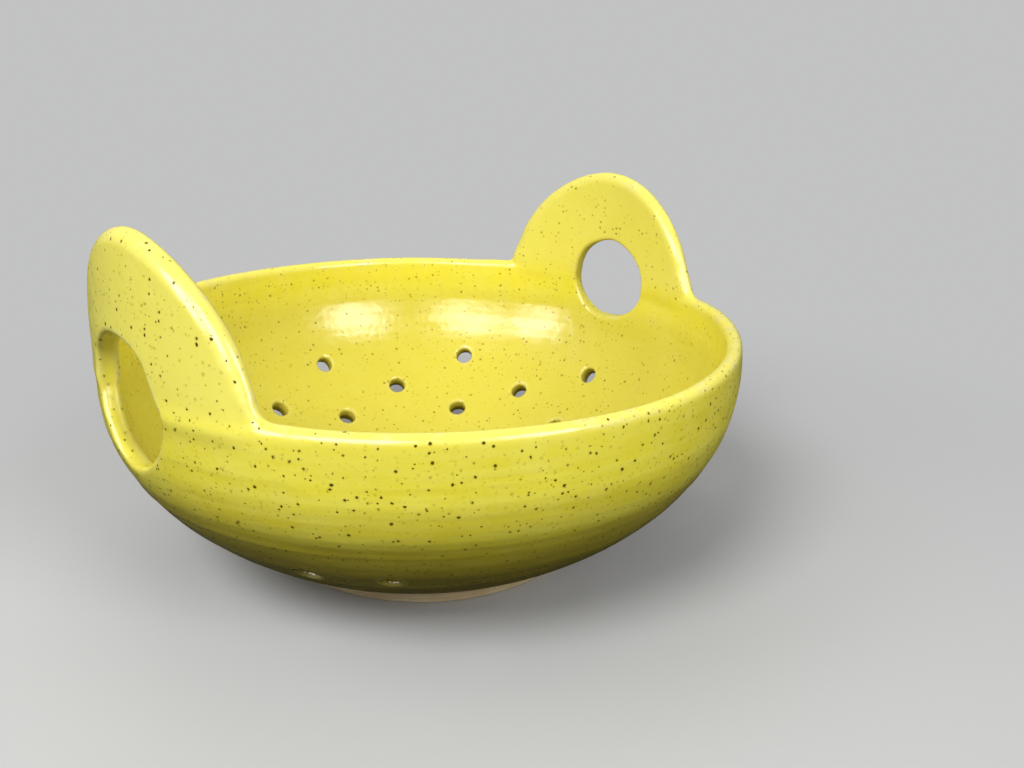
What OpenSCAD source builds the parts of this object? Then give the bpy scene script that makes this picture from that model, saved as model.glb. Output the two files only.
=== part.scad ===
// Berry colander bowl: a thrown bowl on a foot ring, with two arched slab handles on its rim.
// Millimetres, +Z up. The origin is on the bowl's axis at the table, and +X points at the right handle.

/* [Bowl] */
// Outer diameter of the lip
rim_d = 228; // [210:1:250]
// Height of the lip's top above the table
rim_h = 84.5; // [78:0.5:92]
// Thickness of the wall at the rounded lip
lip_t = 5.4; // [4.5:0.1:6.5]
// Thickness of the wall where it leaves the foot
wall_t = 8; // [6:0.1:9]
// Thickness of the floor
floor_t = 6; // [4.5:0.1:7]
// Angle between the table and the wall where the wall leaves the foot
foot_slope = 29.5; // [24:0.5:36]
// Pull of the wall's curve at the foot
foot_pull = 21.5; // [16:0.5:27]
// Angle by which the wall closes in at the lip
rim_lean = 6.5; // [3:0.5:9]
// Pull of the wall's curve at the lip
rim_pull = 45.5; // [38:0.5:52]

/* [Foot ring] */
// Outer diameter of the foot ring where it meets the bowl
foot_d = 119; // [105:1:130]
// Height of the foot ring
foot_h = 5; // [4:0.1:7]
// Width of the foot ring where it meets the bowl
foot_w = 9; // [7:0.1:12]
// How far each side of the ring draws in on the way down
foot_draft = 1; // [0.5:0.1:1.5]
// Radius of the ring's worn lower edges
foot_round = 1; // [0.5:0.1:1.5]

/* [Drain holes] */
// Diameter of a drain hole
drain_d = 7; // [5:0.1:8]
// Height of the upper row, at the holes' outer mouths
upper_row_h = 36; // [34:0.5:40]
// Height of the middle row
middle_row_h = 24; // [23:0.5:27]
// Height of the lower row
lower_row_h = 15.5; // [14:0.5:16]
// Height of the pair between the upper and the middle row
pair_h = 31; // [29:0.5:33]
// Radius of the ring of holes in the floor
floor_ring_r = 28; // [18:1:40]
// Number of holes in the floor's ring
floor_holes = 6; // [3:1:8]

/* [Handles] */
// Width of a handle across its foot, without the sweeps
handle_w = 96.5; // [86:0.5:106]
// Height of a handle above the lip
handle_h = 45.5; // [38:0.5:55]
// Thickness of the handle's clay lapped over each side of the lip
lap_t = 0.8; // [0.7:0.1:1.5]
// Depth of the lap below the top of the lip
lap_h = 7; // [6:0.1:10]
// Angle by which a handle leans in over the bowl
handle_lean = 4.6; // [2:0.1:7]
// Fullness of the arch, where 2 is an ellipse
arch_power = 1.85; // [1.7:0.05:2.2]
// Height above the lip where the handle's edge starts to sweep into it
sweep_h = 3; // [2:0.1:5]
// Diameter of the right handle's finger hole
right_finger_d = 37; // [28:1:42]
// Depth of the right finger hole's centre below the top of the lip
right_finger_drop = 2; // [0:0.5:6]
// Diameter of the left handle's finger hole, which was cut larger
left_finger_d = 42; // [30:1:44]
// Depth of the left finger hole's centre below the top of the lip
left_finger_drop = 6; // [2:0.5:8]
// Turn of the left handle from the right one about the bowl's axis, as set by eye
left_turn = 179; // [174:0.5:186]

/* [Seams] */
// Thickness of a seam coil at its upper edge
coil_t = 0.8; // [0.7:0.1:1.5]
// Height of a seam coil
coil_h = 5; // [3:0.1:8]

/* [Hidden] */
$fn = 96;

glaze_colour = "#dccb45";
clay_colour = "#b28f66";

// Steps along the curves
wall_steps = 28;
lip_steps = 10;
floor_steps = 8;
foot_steps = 6;
sweep_steps = 5;
arch_steps = 36;
edge_steps = 8;
coil_steps = 6;
share_steps = 24;

// Angles of the drain holes about the bowl's axis, spaced by eye
upper_row_turns = [-1, 38, 78.5, 118.5, 158.5, 283, 320];
middle_row_turns = [18.5, 58.5, 98.5, 138.5, 178.5, 268, 303, 338.5];
lower_row_turns = [-1, 38, 78.5, 118.5, 158.5, 198.5, 240, 279, 319];
pair_turns = [206.5, 222];

// Where the floor's curve turns level, as a share of the inner wall's radius at the foot
floor_turn_share = 0.93;

// Centre line of the lip's round, and the ends of the wall's curve
lip_r = rim_d / 2 - lip_t / 2;
lip_z = rim_h - lip_t / 2;
wall_foot = [foot_d / 2, foot_h];
wall_rim = [lip_r, lip_z] + lip_t / 2 * [cos(rim_lean), sin(rim_lean)];
wall_poles = [
    wall_foot,
    wall_foot + foot_pull * [cos(foot_slope), sin(foot_slope)],
    wall_rim + rim_pull * [sin(rim_lean), -cos(rim_lean)],
    wall_rim
];

// Half thickness of a handle's slab, which is also the radius of its rounded edge
slab_r = lip_t / 2 + lap_t;
half_w = handle_w / 2;
lap_z = rim_h - lap_h;

function unit(v) = v / norm(v);

// Outer face of the wall as a curve from the foot (share 0) to the lip (share 1): radius and height
wall = function (s) pow(1 - s, 3) * wall_poles[0] + 3 * s * pow(1 - s, 2) * wall_poles[1]
    + 3 * s * s * (1 - s) * wall_poles[2] + pow(s, 3) * wall_poles[3];
function wall_run(s) = unit(pow(1 - s, 2) * (wall_poles[1] - wall_poles[0])
    + 2 * s * (1 - s) * (wall_poles[2] - wall_poles[1]) + s * s * (wall_poles[3] - wall_poles[2]));
// Unit normal of the wall's outer face, pointing away from the clay
function wall_out(s) = [wall_run(s)[1], -wall_run(s)[0]];
// Inner face of the wall at the same share
inner_wall = function (s) wall(s) - (wall_t + (lip_t - wall_t) * s) * wall_out(s);
// Share at which one of these faces reaches a height
function share_at(face, z, low = 0, high = 1, steps = share_steps) = let (mid = (low + high) / 2)
    steps == 0 ? mid
    : face(mid)[1] > z ? share_at(face, z, low, mid, steps - 1) : share_at(face, z, mid, high, steps - 1);

function arc(centre, radius, from, to, steps) = [for (k = [0 : steps])
    let (a = from + (to - from) * k / steps) centre + radius * [cos(a), sin(a)]];
function floor_curve(start, turn, end) = [for (k = [1 : floor_steps])
    let (s = k / floor_steps) pow(1 - s, 2) * start + 2 * s * (1 - s) * turn + s * s * end];

// Section of the bowl: outer wall, round lip, inner wall, floor
floor_z = foot_h + floor_t;
bowl_section = concat(
    [for (k = [0 : wall_steps]) wall(k / wall_steps)],
    arc([lip_r, lip_z], lip_t / 2, rim_lean, rim_lean + 180, lip_steps),
    [for (k = [wall_steps : -1 : 0]) inner_wall(k / wall_steps)],
    floor_curve(inner_wall(0), [floor_turn_share * inner_wall(0)[0], floor_z], [0, floor_z]),
    [[0, foot_h]]
);

module bowl_shell() {
    rotate_extrude() polygon(bowl_section);
}

// Finger holes on the +X side, from the axis out past the handle
module finger_bore(size, drop) {
    translate([0, 0, rim_h - drop]) rotate([0, 90, 0]) cylinder(d = size, h = rim_d);
}

module right_bore() {
    finger_bore(right_finger_d, right_finger_drop);
}

module left_bore() {
    finger_bore(left_finger_d, left_finger_drop);
}

// A hole drilled square to the wall, with its outer mouth at a height and a turn about the axis
module drain(height, turn) {
    share = share_at(wall, height);
    spot = wall(share);
    out = wall_out(share);
    rotate([0, 0, turn]) translate([spot[0], 0, spot[1]]) rotate([0, atan2(out[0], out[1]), 0])
        cylinder(d = drain_d, h = 4 * wall_t, center = true);
}

module drain_row(height, turns) {
    for (turn = turns) drain(height, turn);
}

module floor_drains() {
    for (k = [0 : floor_holes]) rotate([0, 0, 360 * k / floor_holes])
        translate([k == 0 ? 0 : floor_ring_r, 0, foot_h + floor_t / 2])
            cylinder(d = drain_d, h = 4 * floor_t, center = true);
}

module bowl() {
    color(glaze_colour) difference() {
        bowl_shell();
        right_bore();
        rotate([0, 0, left_turn]) left_bore();
        drain_row(upper_row_h, upper_row_turns);
        drain_row(middle_row_h, middle_row_turns);
        drain_row(lower_row_h, lower_row_turns);
        drain_row(pair_h, pair_turns);
        floor_drains();
    }
}

// Ring under the floor, with drawn-in sides and worn lower edges
module foot_ring() {
    outer_r = foot_d / 2;
    inner_r = outer_r - foot_w;
    color(clay_colour) rotate_extrude() polygon(concat(
        [[inner_r, foot_h]],
        arc([inner_r + foot_draft + foot_round, foot_round], foot_round, 180, 270, foot_steps),
        arc([outer_r - foot_draft - foot_round, foot_round], foot_round, 270, 360, foot_steps),
        [[outer_r, foot_h]]
    ));
}

// Edge of a handle, as pairs of a point and the outward normal there. Points are measured across from
// the handle's middle and up from the top of the lip.
arch_e = 2 / arch_power;
function arch_edge(u) = let (c = cos(u), s = sin(u), n = arch_e * (arch_power - 1)) [
    [half_w * sign(c) * pow(abs(c), arch_e), handle_h * pow(s, arch_e)],
    unit([sign(c) * pow(abs(c), n) / half_w, pow(s, n) / handle_h])
];
// The arch's foot is a hollow sweep that touches the arch at sweep_h and the lip's top line
sweep_u = asin(pow(sweep_h / handle_h, 1 / arch_e));
sweep_top = arch_edge(sweep_u);
sweep_r = sweep_h / (1 - sweep_top[1][1]);
sweep_centre = sweep_top[0] + sweep_r * sweep_top[1];
sweep_turn = 90 - atan2(sweep_top[1][1], sweep_top[1][0]);
function sweep_edge(k) = let (a = 270 - sweep_turn * k / sweep_steps, d = [cos(a), sin(a)])
    [sweep_centre + sweep_r * d, -d];
function flipped(e) = [for (v = e) [-v[0], v[1]]];
handle_edge = concat(
    [for (k = [0 : sweep_steps]) sweep_edge(k)],
    [for (k = [1 : arch_steps - 1]) arch_edge(sweep_u + (180 - 2 * sweep_u) * k / arch_steps)],
    [for (k = [sweep_steps : -1 : 0]) flipped(sweep_edge(k))]
);
// Half the angle that a handle spans about the bowl's axis
handle_turn = asin(sweep_centre[0] / lip_r);

// A point of the slab: across, up from the lip's top and out from its middle surface, which leans in
function slab_point(y, z, out) = let (
    turn = asin(y / lip_r),
    r = lip_r - tan(handle_lean) * (z + lap_h) + out
) [r * cos(turn), r * sin(turn), rim_h + z];
// One section of the slab: down the outer face, round the edge and down the inner face
function slab_section(e) = let (root = e[0] - slab_r * e[1]) concat(
    [slab_point(root[0], -lap_h, slab_r)],
    [for (k = [0 : edge_steps]) let (a = 90 - 180 * k / edge_steps, p = root + slab_r * cos(a) * e[1])
        slab_point(p[0], p[1], slab_r * sin(a))],
    [slab_point(root[0], -lap_h, -slab_r)]
);

module slab() {
    sections = [for (e = handle_edge) slab_section(e)];
    n = len(sections[0]);
    last = len(sections) - 1;
    polyhedron(
        points = [for (s = sections) each s],
        faces = concat(
            [for (i = [0 : last - 1], j = [0 : n - 1]) each let (
                a = i * n + j, b = i * n + (j + 1) % n, c = a + n, d = b + n) [[a, b, d], [a, d, c]]],
            [[for (j = [n - 1 : -1 : 0]) j]],
            [[for (j = [0 : n - 1]) last * n + j]]
        )
    );
}

// A handle on the +X side: a rounded slab that straddles the lip, without its finger hole
module handle() {
    difference() {
        slab();
        bowl_shell();
    }
}

module right_handle() {
    color(glaze_colour) difference() {
        handle();
        right_bore();
    }
}

module left_handle() {
    color(glaze_colour) rotate([0, 0, left_turn]) difference() {
        handle();
        left_bore();
    }
}

// Coils of clay worked into the corners below a lap. A coil is thickest under the lap and runs out to
// nothing on the wall, with a hollow face: its thickness grows with the square of the way up.
function coil_face(face, side) = let (top = share_at(face, lap_z), foot = share_at(face, lap_z - coil_h))
    [for (k = [0 : coil_steps]) let (up = k / coil_steps)
        face(foot + (top - foot) * up) + [side * coil_t * pow(up, 2), 0]];
outer_coil_face = coil_face(wall, 1);
inner_coil_face = coil_face(inner_wall, -1);
// Line inside the wall that both coils' sections reach in to
coil_core_r = (outer_coil_face[0][0] + inner_coil_face[0][0]) / 2;
coil_core = [[coil_core_r, lap_z], [coil_core_r, lap_z - coil_h]];

module coil(face) {
    difference() {
        rotate([0, 0, -handle_turn]) rotate_extrude(angle = 2 * handle_turn) polygon(concat(face, coil_core));
        bowl_shell();
    }
}

module right_coil(face) {
    color(glaze_colour) difference() {
        coil(face);
        right_bore();
    }
}

module left_coil(face) {
    color(glaze_colour) rotate([0, 0, left_turn]) difference() {
        coil(face);
        left_bore();
    }
}

module right_outer_coil() {
    right_coil(outer_coil_face);
}

module right_inner_coil() {
    right_coil(inner_coil_face);
}

module left_outer_coil() {
    left_coil(outer_coil_face);
}

module left_inner_coil() {
    left_coil(inner_coil_face);
}

bowl();
foot_ring();
left_handle();
right_handle();
left_outer_coil();
left_inner_coil();
right_outer_coil();
right_inner_coil();
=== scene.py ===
"""Looks of the berry colander bowl: a hand-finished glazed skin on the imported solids, and a stage.

The glazed clay is one soft shape: the thrown wall, the handles worked into it and the holes cut
through it. It is written as a distance field in millimetres and meshed on a grid that is unrolled
along the wall. The mesh is then parted into the bowl and its two handles.
"""

import math
from collections import namedtuple

import bmesh
import bpy
import numpy as np
from mathutils import Matrix, Vector


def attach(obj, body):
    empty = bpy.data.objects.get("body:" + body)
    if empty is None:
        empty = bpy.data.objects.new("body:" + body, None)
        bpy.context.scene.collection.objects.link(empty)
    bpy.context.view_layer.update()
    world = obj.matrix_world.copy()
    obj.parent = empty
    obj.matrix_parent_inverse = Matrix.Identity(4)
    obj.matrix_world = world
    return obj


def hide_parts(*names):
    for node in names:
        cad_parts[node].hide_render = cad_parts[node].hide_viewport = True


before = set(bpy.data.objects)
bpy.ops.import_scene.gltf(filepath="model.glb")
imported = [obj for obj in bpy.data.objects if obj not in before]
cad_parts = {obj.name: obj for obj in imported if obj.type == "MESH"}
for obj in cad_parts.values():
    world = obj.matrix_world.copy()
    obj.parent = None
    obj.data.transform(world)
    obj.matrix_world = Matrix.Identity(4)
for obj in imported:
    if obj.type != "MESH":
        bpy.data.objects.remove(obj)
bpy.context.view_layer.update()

MM = 0.001
FULL_TURN = 2 * math.pi
TINY = 1e-9

# Sizes of the part's source, in millimetres and degrees
RIM_D, RIM_H, LIP_T, WALL_T, FLOOR_T = 228.0, 84.5, 5.4, 8.0, 6.0
FOOT_D, FOOT_H, FOOT_W, FOOT_DRAFT, FOOT_ROUND = 119.0, 5.0, 9.0, 1.0, 1.0
FOOT_SLOPE, FOOT_PULL, RIM_LEAN, RIM_PULL, FLOOR_TURN = 29.5, 21.5, 6.5, 45.5, 0.93
HANDLE_W, HANDLE_H, LAP_T, LAP_H, HANDLE_LEAN, ARCH_POWER = 96.5, 45.5, 0.8, 7.0, 4.6, 1.85
LEFT_TURN = 179.0
DRAIN_D, FLOOR_RING_R, FLOOR_HOLES = 7.0, 28.0, 6
DRAIN_ROWS = (
    (36.0, (-1, 38, 78.5, 118.5, 158.5, 283, 320)),
    (24.0, (18.5, 58.5, 98.5, 138.5, 178.5, 268, 303, 338.5)),
    (15.5, (-1, 38, 78.5, 118.5, 158.5, 198.5, 240, 279, 319)),
    (31.0, (206.5, 222)),
)

# Outlines of the finger holes as cut by hand: across from the handle's middle, and height
RIGHT_FINGER = (
    (17.6, 80.0), (16.9, 84.5), (15.8, 88.5), (13.8, 92.5), (10.5, 96.0), (5.8, 98.6), (0.5, 100.2),
    (-4.5, 100.5), (-9.2, 99.2), (-14.2, 96.4), (-18.0, 92.6), (-20.3, 88.6), (-20.8, 84.5),
    (-19.7, 79.2), (-17.5, 74.4), (-13.6, 70.0), (-8.0, 67.0), (-2.0, 65.8), (4.0, 65.8),
    (9.0, 67.6), (13.0, 70.6), (16.0, 75.0),
)
LEFT_FINGER = (
    (19.0, 80.2), (16.7, 83.8), (14.6, 87.0), (12.7, 91.0), (10.2, 94.6), (6.0, 97.2), (0.5, 98.8),
    (-6.0, 99.2), (-12.8, 97.9), (-18.6, 94.8), (-23.4, 90.2), (-25.2, 84.5), (-24.8, 78.5),
    (-22.4, 72.5), (-19.4, 67.5), (-16.5, 63.0), (-13.0, 59.6), (-8.5, 57.6), (-3.0, 57.9),
    (2.1, 59.5), (5.8, 61.3), (9.2, 63.7), (12.3, 66.2), (15.4, 69.5), (17.3, 73.0), (18.5, 76.6),
)
# Each handle: turn, side, phase of its unevenness, finger hole, reach of the soft corner with the
# lip at each end, and share by which its foot spreads
Handle = namedtuple("Handle", "turn side phase finger low_corner high_corner spread")
HANDLES = (
    Handle(0.0, 1, 0.4, RIGHT_FINGER, 6.0, 3.0, 0.035),
    Handle(LEFT_TURN, -1, 1.7, LEFT_FINGER, 5.5, 5.5, 0.02),
)

# Reach of the soft transitions: handle's faces into the wall, finger hole, drain hole
FACE_BLEND, FINGER_SOFT, DRAIN_SOFT = 1.2, 1.9, 1.3
# How far in from a handle's outline its edge starts to round over
EDGE_ROUND = 4.8
# Changes in a handle, from start to end: going up from the rim, across, or in from its ends
SPREAD_UP, ROUND_UP, SWAY_UP = (0, 13), (2, 12), (0, 9)
THICK_UP, THICK_IN = (-9, -3), (0, 11)
LEAN_UP, LEAN_IN = (-9, -1), (-4, 8)
CORNER_ACROSS = (-20, 20)
# Handle faces sink into the wall beyond the ends and below the lap
SINK, SINK_OUT, SINK_DOWN = 3.0, (4, 30), (14, 28)
END_MARGIN, LIP_LIFT, LIP_THINNED = 3.0, 0.25, 0.25
SEAM_BULGE, SEAM_UP, SEAM_HALF = 0.3, -4.0, 4.0
# Unevenness of the handles, as size and wave length
CROWN_SWAY, OUTLINE_ACROSS, OUTLINE_UP = (0.2, 9.0), (0.1, 11.0), (0.075, 7.0)
FACE_SWAY, FACE_ACROSS, FACE_UP = 0.15, 16.0, 13.0
# Far side of the left handle, pushed in where it meets the wall
PRESS_DEPTH, PRESS_TURN, PRESS_HALF = 1.2, 2.76, 0.30
PRESS_START, PRESS_END = (56, 80), (78, 98)
# Space that a handle takes up: out from the axis, and down from the rim
HANDLE_OUT, HANDLE_DOWN = 60.0, 30.0

# Waves round the bowl, as size, count and phase
RING_DRIFT = ((0.9, 1, 0.7), (0.5, 2, 2.0))
OUT_OF_ROUND = ((0.22, 2, 0.9), (0.12, 5, 0.3))
RIM_WAVES = ((0.16, 3, 1.1), (0.10, 7, 0.0))
# Places where the rim dips or rises: turn, half width and drop
RIM_DIPS = ((0.60, 0.28, 0.65), (1.95, 0.30, -0.90), (-0.72, 0.25, -1.00))
UNEVEN_FROM = (20, RIM_H)
# Marks of throwing on the outside: height, half width above and below, and depth of each ring
OUTER_RINGS = (
    (48.9, 1.3, 5.0, -0.20), (43.8, 1.2, 1.2, 0.18), (52.5, 2.4, 2.4, 0.08),
    (59.0, 1.8, 2.2, -0.14), (56.4, 2.2, 2.2, 0.05), (67.0, 2.8, 2.8, -0.08),
    (72.5, 2.6, 2.6, 0.06), (41.0, 2.4, 2.4, -0.12), (34.0, 2.2, 2.2, 0.08),
    (29.0, 2.0, 2.0, -0.10), (20.0, 2.4, 2.4, -0.08),
)
LOWER_RING, UPPER_RING = 0, 3
RING_WANDER, RING_WANDER_PHASE = 0.8, 1.7
RING_STRENGTH, RING_CHANGE, RING_CHANGE_PHASE = 0.65, 0.35, 2.3
# Fine ridges outside, and the climbing ridges of the fingers inside, with a ripple on them
RIDGE_H, RIDGE_GAP = 0.012, 3.1
SPIRAL_H, SPIRAL_GAP = 0.035, 8.5
RIPPLE_H, RIPPLE_RATE, RIPPLE_SWAY = 0.012, 2.3, 0.2
MARKS_START, MARKS_END = (14, 22), (RIM_H - 9, RIM_H - 3)
# Drain holes differ a little in size
DRAIN_UNEVEN, DRAIN_PHASE = 0.03, 2.4
# Foot ring: how far it reaches up into the wall, how far below that its sides end, its fillets
# inside and outside, the grid on its top, and its wear as size, count and phase
FOOT_SUNK, INNER_DROP, OUTER_DROP, FILLET_DROP = 0.35, 0.1, 0.6, 0.05
INNER_FILLET, OUTER_FILLET, OUTER_FILLET_TOP, TOP_STEP = 0.3, 0.25, 0.7, 2.5
FOOT_WEAR, FOOT_CHIPS = ((0.10, 3, 0.4), (0.07, 11, 1.3)), (0.05, 29, 4.0)

# Olive tint with painted shade outside: share and reach of the steps at the main rings, and other
# places
UPPER_OLIVE_AND_SHADE, UPPER_REACH = 0.25, (-1.2, 1.6)
LOWER_OLIVE_AND_SHADE, LOWER_REACH = 0.50, (-1.4, 1.4)
# Darker towards the bottom: partly olive glaze, partly painted shade
DEEP_OLIVE_AND_SHADE, DEEP_REACH = 0.25, (30, 47)
# Band under the lip: painted shade only
PAINTED_SHADE_UNDER_LIP, SHADE_UNDER_LIP_START, SHADE_UNDER_LIP_END = 0.16, (70, 76), (80, 83)

# Grid step of the skin, and the height at which the handles are parted from the bowl
STEP = 1.3
PART_Z = RIM_H + 1.0
# Steps along the outlines
WALL_STEPS, LIP_STEPS, FLOOR_STEPS, ARCH_STEPS = 130, 30, 40, 90
ROUGH_STEPS, MIDDLE_STEPS, OUT_STEPS, FINE_STEPS = 80, 200, 60, 2000
FOOT_STEPS, FOOT_ROUND_STEPS = 300, 7
# Where the outlines are closed, out of the clay that is used
PAST_AXIS, BELOW_RIM = -15.0, -50.0


# Section of the bowl

def direction(degrees):
    """Unit vector at an angle."""
    return np.array([math.cos(math.radians(degrees)), math.sin(math.radians(degrees))])


LIP = np.array([RIM_D / 2 - LIP_T / 2, RIM_H - LIP_T / 2])
WALL_FOOT = np.array([FOOT_D / 2, FOOT_H])
WALL_RIM = LIP + LIP_T / 2 * direction(RIM_LEAN)
WALL_POLES = (
    WALL_FOOT,
    WALL_FOOT + FOOT_PULL * direction(FOOT_SLOPE),
    WALL_RIM - RIM_PULL * direction(90 + RIM_LEAN),
    WALL_RIM,
)
FLOOR_Z = FOOT_H + FLOOR_T
SLAB_HALF, THIN_HALF = LIP_T / 2 + LAP_T, LIP_T / 2 - LIP_THINNED
LEAN_TAN, LEAN_COS = math.tan(math.radians(HANDLE_LEAN)), math.cos(math.radians(HANDLE_LEAN))


def wall(s):
    """Outer face of the wall, from the foot (0) to the lip (1): radius and height."""
    s = np.asarray(s, float)[..., None]
    a, b, c, d = WALL_POLES
    return (1 - s) ** 3 * a + 3 * s * (1 - s) ** 2 * b + 3 * s * s * (1 - s) * c + s ** 3 * d


def wall_out(s):
    """Unit normal of the wall's outer face."""
    s = np.asarray(s, float)[..., None]
    a, b, c, d = WALL_POLES
    run = (1 - s) ** 2 * (b - a) + 2 * s * (1 - s) * (c - b) + s * s * (d - c)
    run /= np.linalg.norm(run, axis=-1, keepdims=True)
    return np.stack([run[..., 1], -run[..., 0]], -1)


def inner_wall(s):
    """Inner face of the wall."""
    s = np.asarray(s, float)
    return wall(s) - (WALL_T + (LIP_T - WALL_T) * s)[..., None] * wall_out(s)


def middle_wall(steps):
    """Middle of the wall, from the foot to the lip."""
    s = np.linspace(0, 1, steps)
    return (wall(s) + inner_wall(s)) / 2


def bowl_section():
    """Outline of the clay from the underside round the lip to the floor, clay on its left."""
    s = np.linspace(0, 1, WALL_STEPS)
    turn = np.radians(np.linspace(RIM_LEAN, RIM_LEAN + 180, LIP_STEPS))
    lip = LIP + LIP_T / 2 * np.stack([np.cos(turn), np.sin(turn)], -1)
    inner = inner_wall(s[::-1])
    t = np.linspace(0, 1, FLOOR_STEPS)[:, None]
    start, end = inner[-1], np.array([0, FLOOR_Z])
    bend = np.array([FLOOR_TURN * start[0], FLOOR_Z])
    floor = (1 - t) ** 2 * start + 2 * t * (1 - t) * bend + t * t * end
    under, over = [[PAST_AXIS, FOOT_H]], [[PAST_AXIS, FLOOR_Z]]
    return np.concatenate([under, wall(s), lip[1:-1], inner, floor[1:], over])


def handle_outline():
    """Outline of a handle, across from its middle and up from the rim, clay on its left."""
    u = np.linspace(0, math.pi, ARCH_STEPS)
    power = 2 / ARCH_POWER
    across, up = np.cos(u), np.sin(u)
    across = HANDLE_W / 2 * np.sign(across) * np.abs(across) ** power
    up = HANDLE_H * np.abs(up) ** power
    low = [[-HANDLE_W / 2, BELOW_RIM], [HANDLE_W / 2, BELOW_RIM]]
    return np.concatenate([low, np.stack([across, up], -1), low[:1]])


def closed_curve(points, steps=8):
    """A smooth closed line through points."""
    b = np.array(points)
    a, c, d = np.roll(b, 1, 0), np.roll(b, -1, 0), np.roll(b, -2, 0)
    t = (np.arange(steps) / steps)[:, None, None]
    first, second, third = c - a, 2 * a - 5 * b + 4 * c - d, 3 * b - a - 3 * c + d
    line = b + (first * t + second * t ** 2 + third * t ** 3) / 2
    line = line.transpose(1, 0, 2).reshape(-1, 2)
    return np.concatenate([line, line[:1]])


class Table:
    """Signed distance to an outline, kept on a square grid and read back through smooth splines."""

    def __init__(self, line, low, high, step=0.6):
        self.low, self.step = np.array(low, float), step
        xs, ys = (np.arange(a, b, step) for a, b in zip(low, high))
        start, run = line[:-1], np.diff(line, axis=0)
        keep = (run ** 2).sum(1) > TINY
        start, run = start[keep], run[keep]
        ax, ay, dx, dy = (v[:, None] for v in (start[:, 0], start[:, 1], run[:, 0], run[:, 1]))
        size = dx * dx + dy * dy
        self.grid = np.empty((len(xs), len(ys)))
        column = np.arange(len(ys))
        for i, x in enumerate(xs):
            px, py = x - ax, ys[None] - ay
            t = np.clip((px * dx + py * dy) / size, 0, 1)
            gap = np.hypot(px - t * dx, py - t * dy)
            near = gap.argmin(0)
            left = (dx * py - dy * px)[near, column] > 0
            self.grid[i] = np.where(left, -1, 1) * gap[near, column]

    @staticmethod
    def weights(t):
        """Shares of the four grid lines round a point, for a cubic B-spline."""
        rest = 1 - t
        second = (3 * t ** 3 - 6 * t * t + 4) / 6
        third = (-3 * t ** 3 + 3 * t * t + 3 * t + 1) / 6
        return rest ** 3 / 6, second, third, t ** 3 / 6

    def __call__(self, x, y):
        rows, columns = self.grid.shape
        x, y = (x - self.low[0]) / self.step, (y - self.low[1]) / self.step
        i = np.clip(np.floor(x).astype(int), 1, rows - 3)
        j = np.clip(np.floor(y).astype(int), 1, columns - 3)
        wx, wy = self.weights(np.clip(x - i, 0, 1)), self.weights(np.clip(y - j, 0, 1))
        flat, total = self.grid.ravel(), 0
        for a in range(4):
            base = (i - 1 + a) * columns + j - 1
            total = total + wx[a] * sum(wy[b] * flat[base + b] for b in range(4))
        return total


SECTION = Table(bowl_section(), low=(-6, -10), high=(132, 102))
ARCH = Table(handle_outline(), low=(-84, -30), high=(84, 66))
FINGERS = {handle.side: Table(closed_curve(handle.finger), low=(-84, 30), high=(84, 150))
           for handle in HANDLES}
MIDDLE_WALL = middle_wall(ROUGH_STEPS)


# Field of the clay: negative inside

def soft_min(a, b, reach):
    """The lower of two values, with a soft change between them."""
    h = np.maximum(reach - np.abs(a - b), 0) / reach
    return np.minimum(a, b) - h * h * reach / 4


def soft_max(a, b, reach):
    """The higher of two values, with a soft change between them."""
    return -soft_min(-a, -b, reach)


def smooth_step(low, high, v):
    """Nought below a range, one above it and a soft rise between."""
    t = np.clip((v - low) / (high - low), 0, 1)
    return t * t * (3 - 2 * t)


def bell(off, half):
    """One at the middle, and nought well away from it."""
    return np.exp(-(off / half) ** 2)


def waves(angle, terms):
    """Sum of waves, each with a size, a count and a phase."""
    return sum(size * np.sin(count * angle + phase) for size, count, phase in terms)


def ripple(size, length, way, phase):
    """One wave along a way."""
    return size * np.sin(way / length + phase)


def middle_radius(z):
    """Radius of the wall's middle at a height."""
    return np.interp(z, MIDDLE_WALL[:, 1], MIDDLE_WALL[:, 0])


def inward(r, z):
    """How far a point is on the inner side of the clay's middle, roughly."""
    steep = middle_radius(z) - np.maximum(z - RIM_H, 0) * LEAN_TAN - r
    return np.where(r < MIDDLE_WALL[0, 0], z - FOOT_H - FLOOR_T / 2, steep)


def ring_height(turn, k):
    """Height of a throwing ring, which wanders on its way round."""
    wander = RING_WANDER * np.sin(turn * (1 + k % 2) + RING_WANDER_PHASE * k)
    return OUTER_RINGS[k][0] - waves(turn, RING_DRIFT) + wander


def outer_marks(z, turn):
    """Fine ridges and throwing rings on the outside."""
    marks = RIDGE_H * np.sin(FULL_TURN * (z + waves(turn, RING_DRIFT)) / RIDGE_GAP)
    for k, (_, above, below, depth) in enumerate(OUTER_RINGS):
        strength = RING_STRENGTH + RING_CHANGE * np.sin(2 * turn + RING_CHANGE_PHASE * k)
        off = z - ring_height(turn, k)
        marks = marks + depth * strength * bell(off, np.where(off > 0, above, below))
    return marks


def inner_marks(z, turn):
    """Ridges that climb in a spiral on the inside."""
    spiral = z / SPIRAL_GAP + turn / FULL_TURN
    ripples = RIPPLE_RATE * z / SPIRAL_GAP + RIPPLE_SWAY * np.sin(turn)
    return SPIRAL_H * np.sin(FULL_TURN * spiral) + RIPPLE_H * np.sin(FULL_TURN * ripples)


def thrown_marks(r, z, turn):
    """How far the throwing marks stand out of the wall."""
    fade = smooth_step(*MARKS_START, z) * (1 - smooth_step(*MARKS_END, z))
    return fade * np.where(inward(r, z) > 0, inner_marks(z, turn), outer_marks(z, turn))


def bowl_field(r, z, turn):
    """The thrown bowl, a little out of round and uneven at the rim."""
    high = smooth_step(*UNEVEN_FROM, z)
    drop = waves(turn, RIM_WAVES)
    for at, half, depth in RIM_DIPS:
        drop = drop + depth * bell(turn - at, half)
    section = SECTION(r + high * waves(turn, OUT_OF_ROUND), z + high * drop)
    return section - thrown_marks(r, z, turn)


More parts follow.
